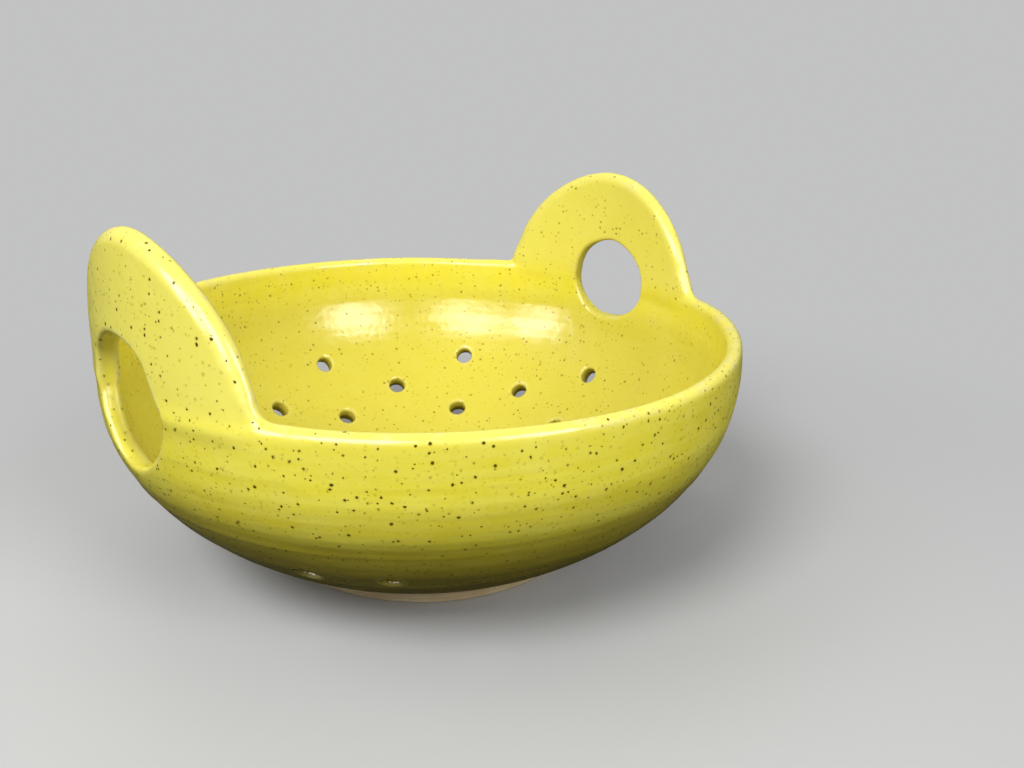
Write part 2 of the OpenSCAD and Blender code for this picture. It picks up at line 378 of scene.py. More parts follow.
def pressed(z, turn):
    """How far the left handle's far side is pushed in where it meets the wall."""
    level = smooth_step(*PRESS_START, z) * (1 - smooth_step(*PRESS_END, z))
    return PRESS_DEPTH * level * bell(turn % FULL_TURN - PRESS_TURN, PRESS_HALF)


def handle_edge(across, up, handle):
    """Distance out from a handle's outline, with soft corners where it springs from the lip."""
    phase = handle.phase
    narrowed = across / (1 + handle.spread * (1 - smooth_step(*SPREAD_UP, up)))
    arch = ARCH(narrowed, up + ripple(*CROWN_SWAY, across, 3 * phase))
    arch = arch + ripple(*OUTLINE_ACROSS, across, phase) + ripple(*OUTLINE_UP, up, 2 * phase)
    along = smooth_step(*CORNER_ACROSS, across)
    reach = handle.low_corner + (handle.high_corner - handle.low_corner) * along
    return soft_min(arch, up + LIP_LIFT, reach)


def handle_middle(z, up, within):
    """Radius of a handle's middle: on its lean above the lip, and along the wall below."""
    on_wall, leaning = middle_radius(z), LIP[0] - LEAN_TAN * (up + LAP_H)
    share = smooth_step(*LEAN_UP, up) * smooth_step(*LEAN_IN, within)
    return on_wall + (leaning - on_wall) * share + SEAM_BULGE * bell(up - SEAM_UP, SEAM_HALF)


def handle_field(r, z, turn, handle):
    """A handle on the +X side: a round-edged plate, whose faces run out on the wall."""
    across, up = LIP[0] * np.sin(turn), z - RIM_H
    within = HANDLE_W / 2 + END_MARGIN - np.abs(across)
    thick = smooth_step(*THICK_IN, within) * smooth_step(*THICK_UP, up)
    half = THIN_HALF + (SLAB_HALF - THIN_HALF) * thick
    sway = np.sin(across / FACE_ACROSS + up / FACE_UP + 2 * handle.phase)
    sway = FACE_SWAY * smooth_step(*SWAY_UP, up) * sway
    out = (r - handle_middle(z, up, within)) * LEAN_COS + sway
    rounding = half + (EDGE_ROUND - half) * smooth_step(*ROUND_UP, up)
    beyond = np.maximum(handle_edge(across, up, handle) + rounding, 0) * half / rounding
    sunk = SINK * np.maximum(smooth_step(*SINK_OUT, -within), smooth_step(*SINK_DOWN, -up))
    return np.hypot(beyond, out) - half + sunk


def drains():
    """Mouth, axis and radius of every drain hole."""
    s = np.linspace(0, 1, FINE_STEPS)
    heights = wall(s)[:, 1]
    spots, axes = [], []
    for height, turns in DRAIN_ROWS:
        share = np.interp(height, heights, s)
        (r, z), (nr, nz) = wall(share), wall_out(share)
        for turn in turns:
            c, d = direction(turn)
            spots.append((r * c, r * d, z))
            axes.append((nr * c, nr * d, nz))
    for k in range(FLOOR_HOLES + 1):
        x, y = (FLOOR_RING_R if k else 0) * direction(360 * k / FLOOR_HOLES)
        spots.append((x, y, FOOT_H))
        axes.append((0, 0, -1))
    sizes = DRAIN_D / 2 * (1 + DRAIN_UNEVEN * np.sin(DRAIN_PHASE * np.arange(len(spots))))
    return list(zip(np.array(spots), np.array(axes, float), sizes))


DRAINS = drains()


def clay(p):
    """The whole glazed clay, at points in millimetres."""
    x, y, z = p.T
    turn = np.arctan2(y, x)
    r = np.hypot(x, y) + pressed(z, turn)
    f = bowl_field(r, z, turn)
    for handle in HANDLES:
        near = np.nonzero((handle.side * x > HANDLE_OUT) & (z > RIM_H - HANDLE_DOWN))[0]
        if len(near):
            c, s = direction(handle.turn)
            here = np.arctan2(c * y[near] - s * x[near], c * x[near] + s * y[near])
            slab = handle_field(r[near], z[near], here, handle)
            hole = FINGERS[handle.side](LIP[0] * np.sin(here), z[near])
            f[near] = soft_max(soft_min(f[near], slab, FACE_BLEND), -hole, FINGER_SOFT)
    for spot, axis, size in DRAINS:
        away = p - spot
        near = np.nonzero((away ** 2).sum(1) < (3 * WALL_T) ** 2)[0]
        if len(near):
            along = away[near] @ axis
            aside = (away[near] ** 2).sum(1) - along ** 2
            hole = np.sqrt(np.maximum(aside, TINY)) - size
            f[near] = soft_max(f[near], -hole, DRAIN_SOFT)
    return f


def gradient(p, gap=0.06):
    """Steepest rise of the field, measured over a small gap."""
    return np.stack([(clay(p + gap * e) - clay(p - gap * e)) / (2 * gap) for e in np.eye(3)], -1)


def settle(p, times):
    """Points moved onto the clay's surface, by a grid step at most each time."""
    least_slope = 0.05
    for _ in range(times):
        g = gradient(p)
        move = clay(p)[:, None] * g / np.maximum((g ** 2).sum(1), least_slope)[:, None]
        size = np.linalg.norm(move, axis=1, keepdims=True)
        p = p - move * np.minimum(1, STEP / np.maximum(size, TINY))
    return p


# Mesh of the skin

def middle_line():
    """Middle of the clay out along the floor, up the wall and up a handle, a millimetre a step."""
    above_lip, smoothed = 70, 6
    up = middle_wall(MIDDLE_STEPS)
    out = np.linspace(0, up[0, 0], OUT_STEPS)[:-1]
    floor = np.stack([out, np.full_like(out, FOOT_H + FLOOR_T / 2)], -1)
    rise = np.arange(1.0, above_lip + 1)[:, None] * np.array([-LEAN_TAN, 1]) * LEAN_COS
    line = np.concatenate([floor, up[:-1], [LIP], LIP + rise])
    way = np.concatenate([[0], np.cumsum(np.linalg.norm(np.diff(line, axis=0), axis=1))])
    even = np.arange(0, way[-1], 1.0)
    line = np.stack([np.interp(even, way, line[:, k]) for k in (0, 1)], -1)
    smooth = line.copy()
    for k in range(smoothed, len(line) - smoothed):
        smooth[k] = line[k - smoothed:k + smoothed + 1].mean(0)
    return smooth


def left_normals(line):
    """Unit normals on the left of a line."""
    run = np.gradient(line, axis=0)
    run /= np.linalg.norm(run, axis=1, keepdims=True)
    return np.stack([-run[:, 1], run[:, 0]], -1)


MIDDLE = middle_line()
MIDDLE_IN = left_normals(MIDDLE)
LIP_WAY = float(np.argmin(np.linalg.norm(MIDDLE - LIP, axis=1)))


def rolled_up(q):
    """Point in space of a point on the unrolled grid: two values along the middle, one inward."""
    way, turn = np.hypot(q[:, 0], q[:, 1]), np.arctan2(q[:, 1], q[:, 0])
    steps = np.arange(len(MIDDLE))
    r, z = (np.interp(way, steps, MIDDLE[:, k]) + q[:, 2] * np.interp(way, steps, MIDDLE_IN[:, k])
            for k in (0, 1))
    return np.stack([r * np.cos(turn), r * np.sin(turn), z], -1)


def grid_values():
    """The field on the unrolled grid, with its lowest corner."""
    over_handle, over_lip, depth = 9, 7, 7.5
    handle_slope, far_out = 0.62, 10.0
    reach = LIP_WAY + HANDLE_H + over_handle
    n, m = int(2 * reach / STEP) + 1, int(2 * depth / STEP) + 2
    low = np.array([-reach, -reach, -(m - 1) * STEP / 2])
    index = np.meshgrid(np.arange(n), np.arange(n), np.arange(m), indexing="ij")
    q = low + STEP * np.stack(index, -1).reshape(-1, 3)
    way = np.hypot(q[:, 0], q[:, 1])
    on_handle = (way < reach) & (np.abs(q[:, 1]) < handle_slope * way)
    used = (way < LIP_WAY + over_lip) | on_handle
    values = np.full(len(q), far_out)
    values[used] = clay(rolled_up(q[used]))
    return values.reshape(n, n, m), low


def net(values):
    """A point in each grid cell that the surface crosses, and a face for each edge it crosses."""
    inside = values < 0
    shape = np.array(values.shape)
    corners = np.ndindex(2, 2, 2)
    count = sum(inside[tuple(slice(o, n - 1 + o) for o, n in zip(c, shape))].astype(int)
                for c in corners)
    cells = np.argwhere((count > 0) & (count < 8))
    number = np.full(shape, -1)
    number[tuple(cells.T)] = np.arange(len(cells))
    total, hits = np.zeros((len(cells), 3)), np.zeros(len(cells))
    faces = []
    for axis in range(3):
        e, u, v = (np.eye(3, dtype=int)[(axis + k) % 3] for k in range(3))
        for corner in (0 * u, u, v, u + v):
            a, b = values[tuple((cells + corner).T)], values[tuple((cells + corner + e).T)]
            cross = (a < 0) != (b < 0)
            t = np.where(cross, a / np.where(cross, a - b, 1), 0)
            total[cross] += (cells + corner + t[:, None] * e)[cross]
            hits[cross] += 1
        first = inside[tuple(slice(0, n - o) for o, n in zip(e, shape))]
        second = inside[tuple(slice(o, n) for o, n in zip(e, shape))]
        nodes = np.argwhere(first != second)
        quad = np.stack([number[tuple((nodes + o).T)] for o in (-u - v, -v, 0 * u, -u)], -1)
        outward = first[tuple(nodes.T)]
        quad[~outward] = quad[~outward][:, ::-1]
        faces.append(quad)
    return total / hits[:, None], np.concatenate(faces)


def relaxed(p, faces, times=3, share=0.6):
    """Points evened out along the surface."""
    a, b = faces.ravel(), np.roll(faces, -1, axis=1).ravel()
    degree = np.maximum(np.bincount(a, minlength=len(p)), 1)[:, None]
    for _ in range(times):
        mean = np.stack([np.bincount(a, p[b, k], len(p)) for k in range(3)], -1) / degree
        p = settle(p + share * (mean - p), 1)
    return p


def skin():
    """Points and faces of the whole glazed clay."""
    values, low = grid_values()
    points, faces = net(values)
    points = settle(rolled_up(low + STEP * points), 3)
    return settle(relaxed(points, faces), 1), faces


# Pieces

def placed(name, data):
    """A new object in the scene."""
    thing = bpy.data.objects.new(name, data)
    bpy.context.scene.collection.objects.link(thing)
    return thing


def mesh_from(bm, name):
    """A mesh made of what a bmesh holds, which is then let go."""
    mesh = bpy.data.meshes.new(name)
    bm.to_mesh(mesh)
    bm.free()
    return mesh


def mesh_of(name, points, faces):
    """A mesh of points in millimetres."""
    mesh = bpy.data.meshes.new(name)
    mesh.from_pydata((points * MM).tolist(), [], faces.tolist())
    mesh.update()
    return mesh


def parted(name, source, side):
    """The part of a mesh below the parting height (side 0), or above it on the left or right."""
    bm = bmesh.new()
    bm.from_mesh(source)
    upper = side != 0
    bmesh.ops.bisect_plane(bm, geom=bm.verts[:] + bm.edges[:] + bm.faces[:], dist=1e-7,
                           plane_co=(0, 0, PART_Z * MM), plane_no=(0, 0, 1),
                           clear_inner=upper, clear_outer=not upper)
    if upper:
        other = [v for v in bm.verts if v.co.x * side < 0]
        bmesh.ops.delete(bm, geom=other, context="VERTS")
    bmesh.ops.holes_fill(bm, edges=[e for e in bm.edges if e.is_boundary], sides=0)
    bmesh.ops.recalc_face_normals(bm, faces=bm.faces[:])
    return mesh_from(bm, name)


def olive_and_painted_shade(z, turn):
    """Share of olive tint and painted shade outside: at the main rings, low down and under the lip.
    """
    total = DEEP_OLIVE_AND_SHADE * (1 - smooth_step(*DEEP_REACH, z))
    for ring, share, (low, high) in ((UPPER_RING, UPPER_OLIVE_AND_SHADE, UPPER_REACH),
                                     (LOWER_RING, LOWER_OLIVE_AND_SHADE, LOWER_REACH)):
        at = ring_height(turn, ring)
        total = total + share * (1 - smooth_step(at + low, at + high, z))
    return total + PAINTED_SHADE_UNDER_LIP * smooth_step(*SHADE_UNDER_LIP_START, z) * (1 - smooth_step(*SHADE_UNDER_LIP_END, z))


def read(items, key, width, kind=np.float32):
    """One property of many items, as an array."""
    values = np.zeros(len(items) * width, kind)
    items.foreach_get(key, values)
    return values.reshape(-1, width) if width > 1 else values


def add_values(mesh, name, values):
    """A value at each point, for the material to read."""
    layer = mesh.attributes.new(name, "FLOAT", "POINT")
    layer.data.foreach_set("value", values.astype(np.float32))


def shade_smooth(mesh):
    mesh.polygons.foreach_set("use_smooth", np.ones(len(mesh.polygons), bool))


def add_normals(mesh, points):
    """True normals for the shading, and flat ones on the caps at the parting height."""
    cap_gap, cap_level = 2e-6, 0.99
    normal = gradient(points)
    normal /= np.maximum(np.linalg.norm(normal, axis=1, keepdims=True), TINY)
    corner = read(mesh.loops, "vertex_index", 1, np.int32)
    sizes = read(mesh.polygons, "loop_total", 1, np.int32)
    face = np.repeat(read(mesh.polygons, "normal", 3), sizes, axis=0)
    middle = np.repeat(read(mesh.polygons, "center", 3), sizes, axis=0)
    cap = (np.abs(middle[:, 2] - PART_Z * MM) < cap_gap) & (np.abs(face[:, 2]) > cap_level)
    shade_smooth(mesh)
    mesh.normals_split_custom_set(np.where(cap[:, None], face, normal[corner]).tolist())


def add_glaze_values(mesh, points):
    """What the glaze needs to know: how sharp the edge is, which side it is on, its olive tint and
    painted shade.
    """
    gap, sharp, side_blend = 0.8, 0.5, 1.2
    around = sum(clay(points + gap * s * e) for e in np.eye(3) for s in (1, -1))
    bend = (around - 6 * clay(points)) / gap ** 2
    x, y, z = points.T
    inside = smooth_step(-side_blend, side_blend, inward(np.hypot(x, y), z))
    add_values(mesh, "edge", np.clip(bend / sharp, 0, 1))
    add_values(mesh, "inside", inside)
    add_values(mesh, "olive_and_painted_shade", olive_and_painted_shade(z, np.arctan2(y, x)) * (1 - inside))


def glazed_piece(name, whole, side):
    """One part of the glazed clay, ready for its material."""
    mesh = parted(name, whole, side)
    points = read(mesh.vertices, "co", 3).astype(float) / MM
    add_normals(mesh, points)
    add_glaze_values(mesh, points)
    return placed(name, mesh)


def ring_section():
    """The foot ring's outline: drawn-in sides, worn edges and a fillet up under the wall."""
    outer, inner = FOOT_D / 2, FOOT_D / 2 - FOOT_W
    low_out, low_in = outer - FOOT_DRAFT - FOOT_ROUND, inner + FOOT_DRAFT + FOOT_ROUND
    top, inner_top, side_top = FOOT_H + FOOT_SUNK, FOOT_H - INNER_DROP, FOOT_H - OUTER_DROP
    quarter = np.radians(np.linspace(0, 90, FOOT_ROUND_STEPS))
    line = [(inner + INNER_FILLET, top), (inner, inner_top)]
    line += [(inner + FOOT_DRAFT * t, inner_top + (FOOT_ROUND - inner_top) * t)
             for t in (0.25, 0.5, 0.75)]
    line += [(low_in - FOOT_ROUND * math.cos(a), FOOT_ROUND * (1 - math.sin(a))) for a in quarter]
    line += [(low_in + (low_out - low_in) * t, 0) for t in (0.25, 0.5, 0.75)]
    line += [(low_out + FOOT_ROUND * math.sin(a), FOOT_ROUND * (1 - math.cos(a))) for a in quarter]
    line += [(outer - FOOT_DRAFT * (1 - t), FOOT_ROUND + (side_top - FOOT_ROUND) * t)
             for t in (0.3, 0.6, 0.9)]
    line += [(outer + OUTER_FILLET, FOOT_H - FILLET_DROP), (outer + OUTER_FILLET_TOP, top)]
    line += [(outer - TOP_STEP, top), (outer - FOOT_W / 2, top), (inner + TOP_STEP, top)]
    return np.array(line)


def foot_ring():
    """Points and faces of the foot ring, which is turned about the axis and worn here and there."""
    section = ring_section()
    count, size, middle = FOOT_STEPS, len(section), FOOT_D / 2 - FOOT_W / 2
    a = np.linspace(0, FULL_TURN, count, endpoint=False)[:, None]
    z = np.broadcast_to(section[:, 1], (count, size))
    depth, number, change = FOOT_CHIPS
    worn = waves(a, FOOT_WEAR) + depth * np.sin(number * a + change * z / FOOT_H)
    r = section[:, 0] + worn * (section[:, 0] - middle) / (FOOT_W / 2) * (z < FOOT_H)
    points = np.stack([r * np.cos(a), r * np.sin(a), z], -1).reshape(-1, 3)
    k, n = np.indices((count, size))
    next_k, next_n = (k + 1) % count, (n + 1) % size
    around = ((k, n), (k, next_n), (next_k, next_n), (next_k, n))
    faces = np.stack([i * size + j for i, j in around], -1).reshape(-1, 4)
    return points, faces


# Materials

LEMON, DEEP_LEMON = (0.810, 0.715, 0.050, 1), (0.700, 0.595, 0.026, 1)
PALE_BLOTCH, PALE_STREAK = (0.830, 0.760, 0.130, 1), (0.830, 0.760, 0.120, 1)
# The darker hollow colour is painted shade inside the bowl
PALE_HANDLE, PAINTED_HOLLOW_SHADE = (0.735, 0.675, 0.150, 1), (0.500, 0.428, 0.052, 1)
# Olive tint, partly the glaze's own colour and partly painted shade low down and under the lip
OLIVE_AND_SHADE_TINT = (0.190, 0.143, 0.0, 1)
THIN_BUFF, WORN_BUFF = (0.700, 0.635, 0.270, 1), (0.560, 0.480, 0.260, 1)
SPECK_OLIVE, SPECK_IRON = (0.270, 0.205, 0.0, 1), (0.050, 0.030, 0.0, 1)
CLAY, PALE_CLAY = (0.520, 0.385, 0.190, 1), (0.640, 0.505, 0.285, 1)
TURNED_CLAY, GRAIN_CLAY = (0.420, 0.285, 0.125, 1), (0.330, 0.215, 0.110, 1)
CLAY_IRON = (0.060, 0.032, 0.014, 1)

# Kinds of specks: size of the cells that hold one each, least and greatest radius, share of core
Specks = namedtuple("Specks", "cell least greatest core")
LARGE_SPECKS = Specks(0.0022, 0.00025, 0.00062, 0.6)
BLEEDING = Specks(0.0022, 0.00042, 0.00098, 0.3)
SMALL_SPECKS = Specks(0.0017, 0.00018, 0.00038, 0.6)
SOFT_SPECKS = Specks(0.0019, 0.00034, 0.00085, 0.2)
CLAY_SPECKS = Specks(0.0024, 0.00010, 0.00045, 0.6)
SPECK_SIZES = 2.2
# Shares of the specks that are there, and how far each kind shows
MANY_LARGE, MANY_SMALL, FEWER_ABOVE, FEWER_INSIDE = 0.95, 0.45, 0.42, 0.42
LARGE_SHOWN, SMALL_SHOWN, SOFT_SHOWN = 0.97, 0.8, 0.55
FAINTER_INSIDE, FAINTER_LOW = 0.55, 0.4
SMALL_SHIFT, SOFT_SHIFT = (0.3, 0.1, 0.7), (0.9, 0.5, 0.2)
# Shake of the specks' outlines: scale of the noise, and amount in metres
GLAZE_SHAKE, CLAY_SHAKE = (1400.0, 0.00065), (1500.0, 0.0004)

# Masks cut from noise: scale, detail, low and high end, and the values there if not 0 and 1
CLOUDS, BLOTCHES = (22.0, 3.0, 0.32, 0.70), (120.0, 4.0, 0.40, 0.66)
PATCHES, GRIT = (95.0, 4.0, 0.50, 0.68), (700.0, 3.0, 0.50, 0.60)
STREAKS, BANDS = (1.0, 4.0, 0.36, 0.68), (1.0, 4.0, 0.3, 0.7, 0.86, 1.0)
CROWDS, GLAZE_ROUGH = (30.0, 2.0, 0.36, 0.64, 0.35, 1.0), (160.0, 3.0, 0.3, 0.7, 0.17, 0.26)
CLAY_TONE, CLAY_TURNED = (60.0, 4.0, 0.3, 0.7), (1.0, 3.0, 0.35, 0.65)
# Scale, across and up, of the masks that follow the wheel
STREAKS_SCALE, BANDS_SCALE, TURNED_SCALE = (20, 20, 330), (30, 30, 160), (14, 14, 900)
# Heights in metres where the rim ends and the painted shade of the hollow starts, and ranges of the
# sharpness of edges
RIM_BLEND, HOLLOW_SHADE_BLEND = (0.090, 0.076), (0.084, 0.060)
THIN_EDGE, WORN_EDGE = (0.22, 0.62), (0.20, 0.50)
THIN_LEAST, THIN_PATCHY, WORN_SHOWN = 0.10, 0.28, 0.40
# Relief: scale and detail of the noises, their shares, and strength and depth in metres
BROAD_RELIEF, FINE_RELIEF, CLAY_GRAIN = (130.0, 2.0), (520.0, 2.0), (2600.0, 3.0)
FINE_SHARE, STREAK_SHARE, SPECK_SHARE, GRAIN_SHARE = 0.22, 0.12, 0.05, 0.6
GLAZE_BUMP, CLAY_BUMP = (0.35, 0.0005), (0.5, 0.00025)
# Grain of the clay, as colour and as roughness
GRAIN_SHOWN, GRAIN_ROUGH, TURNED_SHOWN = (0.45, 0.75, 0.0, 0.35), (0.3, 0.7, 0.72, 0.92), 0.35
CLAY_SPECKS_SHARE = 0.8
GLOSS, GLOSS_LOST, GLAZE_IOR, CLAY_IOR = 0.5, 0.42, 1.5, 1.45


class Shader:
    """The nodes of a material or a world, added one at a time."""

    def __init__(self, owner):
        owner.use_nodes = True
        self.owner, self.tree = owner, owner.node_tree
        self.tree.nodes.clear()

    def add(self, kind, settings=None, inputs=None):
        node = self.tree.nodes.new("ShaderNode" + kind)
        for key, value in (settings or {}).items():
            setattr(node, key, value)
        for key, value in (inputs or {}).items():
            if isinstance(value, bpy.types.NodeSocket):
                self.tree.links.new(value, node.inputs[key])
            else:
                node.inputs[key].default_value = value
        return node

    def math(self, operation, *values):
        return self.add("Math", {"operation": operation}, dict(enumerate(values))).outputs[0]

    def times(self, product, *values):
        for value in values:
            product = self.math("MULTIPLY", product, value)
        return product

    def less(self, start, value, amount=1.0):
        """A start value less an amount of another."""
        return self.math("MULTIPLY_ADD", value, -amount, start)

    def vector(self, operation, inputs, output=0):
        return self.add("VectorMath", {"operation": operation}, inputs).outputs[output]

    def mix(self, factor, a, b):
        settings = {"data_type": "RGBA", "blend_type": "MIX", "clamp_factor": True}
        return self.add("Mix", settings, {0: factor, 6: a, 7: b}).outputs[2]

    def span(self, value, low, high, to_low=0.0, to_high=1.0, kind="SMOOTHSTEP"):
        """A value that runs from low to high, carried over to another range."""
        return self.add("MapRange", {"interpolation_type": kind, "clamp": True},
                        {0: value, 1: low, 2: high, 3: to_low, 4: to_high}).outputs[0]

    def noise(self, vector, scale, detail=2.0, output=0):
        inputs = {"Vector": vector, "Scale": scale, "Detail": detail}
        return self.add("TexNoise", {}, inputs).outputs[output]

    def mask(self, vector, scale, detail, low, high, to_low=0.0, to_high=1.0):
        return self.span(self.noise(vector, scale, detail), low, high, to_low, to_high)

    def place(self, vector, scale=(1, 1, 1), shift=(0, 0, 0)):
        inputs = {"Vector": vector, "Location": shift, "Scale": scale}
        return self.add("Mapping", {}, inputs).outputs[0]

    def object_place(self):
        return self.add("TexCoord").outputs["Object"]

    def value(self, name):
        settings = {"attribute_type": "GEOMETRY", "attribute_name": name}
        return self.add("Attribute", settings).outputs["Fac"]

    def jitter(self, vector, scale, amount):
        """Places shaken by a noise, so that round specks become uneven."""
        colour = self.noise(vector, scale, 2.0, output=1)
        wander = self.vector("SUBTRACT", {0: colour, 1: (0.5, 0.5, 0.5)})
        shake = self.vector("SCALE", {0: wander, "Scale": amount})
        return self.vector("ADD", {0: vector, 1: shake})

    def specks(self, vector, kind, share):
        """Mask of specks: one in a share of the cells of a grid, each with a radius of its own."""
        cell, least, greatest, core = kind
        found = self.add("TexVoronoi", {"feature": "F1"}, {"Vector": vector, "Scale": 1 / cell})
        pick = self.add("SeparateColor", {}, {0: found.outputs["Color"]})
        size = self.math("POWER", pick.outputs[0], SPECK_SIZES)
        radius = self.span(size, 0.0, 1.0, least / cell, greatest / cell, "LINEAR")
        spot = self.span(found.outputs["Distance"], radius, self.times(radius, core))
        return self.times(spot, self.math("LESS_THAN", pick.outputs[1], share))

    def bump(self, height, strength, distance):
        inputs = {"Strength": strength, "Distance": distance, "Height": height}
        return self.add("Bump", {}, inputs).outputs[0]

    def finish(self, colour, roughness, normal, **others):
        inputs = {"Base Color": colour, "Roughness": roughness, "Normal": normal}
        inputs.update({key.replace("_", " "): value for key, value in others.items()})
        surface = self.add("BsdfPrincipled", {}, inputs)
        self.add("OutputMaterial", {}, {"Surface": surface.outputs[0]})
        return self.owner


class Glaze(Shader):
    """The yellow glaze: colour in its depth with painted shade, thin edges, iron specks and gloss.
    """

    def __init__(self):
        super().__init__(bpy.data.materials.new("yellow_glaze"))
        self.spot = self.object_place()
        # The third value is the olive tint with painted shade on the outside
        self.edge, self.inside, self.low = (self.value(n) for n in ("edge", "inside", "olive_and_painted_shade"))
        self.outside = self.less(1.0, self.inside)
        self.height = self.add("SeparateXYZ", {}, {0: self.spot}).outputs[2]
        below_rim = self.span(self.height, *RIM_BLEND)
        self.above_rim = self.less(1.0, below_rim)
        brushed = self.mask(self.place(self.spot, STREAKS_SCALE), *STREAKS)
        self.streaks = self.times(brushed, self.outside, below_rim)

    def depth(self):
        """Clouds, blotches, brushed streaks, paler handles, painted shade in the hollow, and olive
        with painted shade low down.
        """
        clouds, blotches = self.mask(self.spot, *CLOUDS), self.mask(self.spot, *BLOTCHES)
        # Painted shade inside the bowl, which fades in below the rim
        painted_hollow_shade = self.times(self.inside, self.span(self.height, *HOLLOW_SHADE_BLEND))
        bands = self.mask(self.place(self.spot, BANDS_SCALE), *BANDS)
        colour = LEMON
        for mask, amount, tint in (
            (clouds, 0.40, DEEP_LEMON), (blotches, 0.30, PALE_BLOTCH),
            (self.streaks, 0.42, PALE_STREAK), (self.above_rim, 0.60, PALE_HANDLE),
            # Painted shade in the hollow, and olive tint with painted shade low down outside
            (painted_hollow_shade, 0.70, PAINTED_HOLLOW_SHADE), (self.low, bands, OLIVE_AND_SHADE_TINT),
        ):
            colour = self.mix(self.times(mask, amount), colour, tint)
        return colour

    def thin_edges(self, colour):
        """Thin glaze on the edges, which lets the buff clay through in patches."""
        patches, grit = self.mask(self.spot, *PATCHES), self.mask(self.spot, *GRIT)
        amount = self.math("MULTIPLY_ADD", patches, THIN_PATCHY, THIN_LEAST)
        thin = self.times(self.span(self.edge, *THIN_EDGE), amount)
        worn = self.times(self.span(self.edge, *WORN_EDGE), patches, grit, WORN_SHOWN)
        return self.mix(worn, self.mix(thin, colour, THIN_BUFF), WORN_BUFF)

    def iron(self, colour):
        """Large specks that bleed, many small ones and soft olive ones, with a mask of the dark."""
        shaken, crowds = self.jitter(self.spot, *GLAZE_SHAKE), self.mask(self.spot, *CROWDS)
        plenty = self.times(self.less(1.0, self.above_rim, FEWER_ABOVE),
                            self.less(1.0, self.inside, FEWER_INSIDE))
        many = self.times(plenty, MANY_LARGE)
        large, bleeding = (self.specks(shaken, kind, many) for kind in (LARGE_SPECKS, BLEEDING))
        small = self.specks(self.place(shaken, shift=SMALL_SHIFT), SMALL_SPECKS, MANY_SMALL)
        soft = self.specks(self.place(shaken, shift=SOFT_SHIFT), SOFT_SPECKS, plenty)
        soft = self.math("MAXIMUM", self.times(soft, crowds), bleeding)
        colour = self.mix(self.times(soft, SOFT_SHOWN), colour, SPECK_OLIVE)
        large = self.times(large, self.less(LARGE_SHOWN, self.inside, FAINTER_INSIDE))
        small = self.times(small, crowds, self.outside, SMALL_SHOWN)
        dark = self.math("MAXIMUM", large, small)
        dark = self.times(dark, self.less(1.0, self.low, FAINTER_LOW))
        return self.mix(dark, colour, SPECK_IRON), dark

    def whole(self):
        """The finished material, with a slight ripple and a little relief at the specks."""
        colour, dark = self.iron(self.thin_edges(self.depth()))
        rough = self.mask(self.spot, *GLAZE_ROUGH)
        broad, fine = (self.noise(self.spot, *kind) for kind in (BROAD_RELIEF, FINE_RELIEF))
        relief = self.math("MULTIPLY_ADD", fine, FINE_SHARE, broad)
        relief = self.math("ADD", relief, self.times(self.streaks, self.outside, STREAK_SHARE))
        bump = self.bump(self.less(relief, dark, SPECK_SHARE), *GLAZE_BUMP)
        gloss = self.less(GLOSS, dark, GLOSS_LOST)
        return self.finish(colour, rough, bump, IOR=GLAZE_IOR, Specular_IOR_Level=gloss)


def bare_clay():
    """Unglazed stoneware, with the lines of turning, grain and a few specks."""
    s = Shader(bpy.data.materials.new("bare_clay"))
    spot = s.object_place()
    turned = s.mask(s.place(spot, TURNED_SCALE), *CLAY_TURNED)
    grain = s.noise(spot, *CLAY_GRAIN)
    specks = s.specks(s.jitter(spot, *CLAY_SHAKE), CLAY_SPECKS, CLAY_SPECKS_SHARE)
    colour = s.mix(s.mask(spot, *CLAY_TONE), CLAY, PALE_CLAY)
    colour = s.mix(s.times(turned, TURNED_SHOWN), colour, TURNED_CLAY)
    colour = s.mix(s.span(grain, *GRAIN_SHOWN), colour, GRAIN_CLAY)
    colour = s.mix(specks, colour, CLAY_IRON)
    relief = s.math("MULTIPLY_ADD", grain, GRAIN_SHARE, turned)
    bump = s.bump(relief, *CLAY_BUMP)
    return s.finish(colour, s.span(grain, *GRAIN_ROUGH), bump, IOR=CLAY_IOR)


# Stage

# Camera, in millimetres, degrees and pixels
CAMERA_AT = (-217.95, -247.68, 174.85)
CAMERA_TURN, CAMERA_DIP, CAMERA_ROLL = (math.radians(v) for v in (-46.906, 19.40, 0.96))
FOCAL_PIXELS, PICTURE_WIDTH, SENSOR = 917.9, 1024, 36.0
CLIP_START = 0.01

# Floor as it is seen, and as it scatters light: the photo has a dark table there
FLOOR_PALE, FLOOR_PALER = (0.43, 0.43, 0.428, 1), (0.45, 0.45, 0.448, 1)
FLOOR_DARK = (0.024, 0.026, 0.008, 1)
FLOOR_RADIUS, FLOOR_SIDES, FLOOR_FADE = 9.0, 96, (0.14, 0.40)
FLOOR_TONE, FLOOR_RELIEF, FLOOR_BUMP, FLOOR_ROUGH = (3.0, 3.0), (240.0, 3.0), (0.08, 0.0005), 0.6
BACKGROUND, WORLD_LIGHT = (0.54, 0.542, 0.545, 1), (0.345, 0.348, 0.352, 1)
# Share of the pale floor and backdrop that the glaze mirrors
FLOOR_MIRRORED, WORLD_MIRRORED = 0.03, 0.125

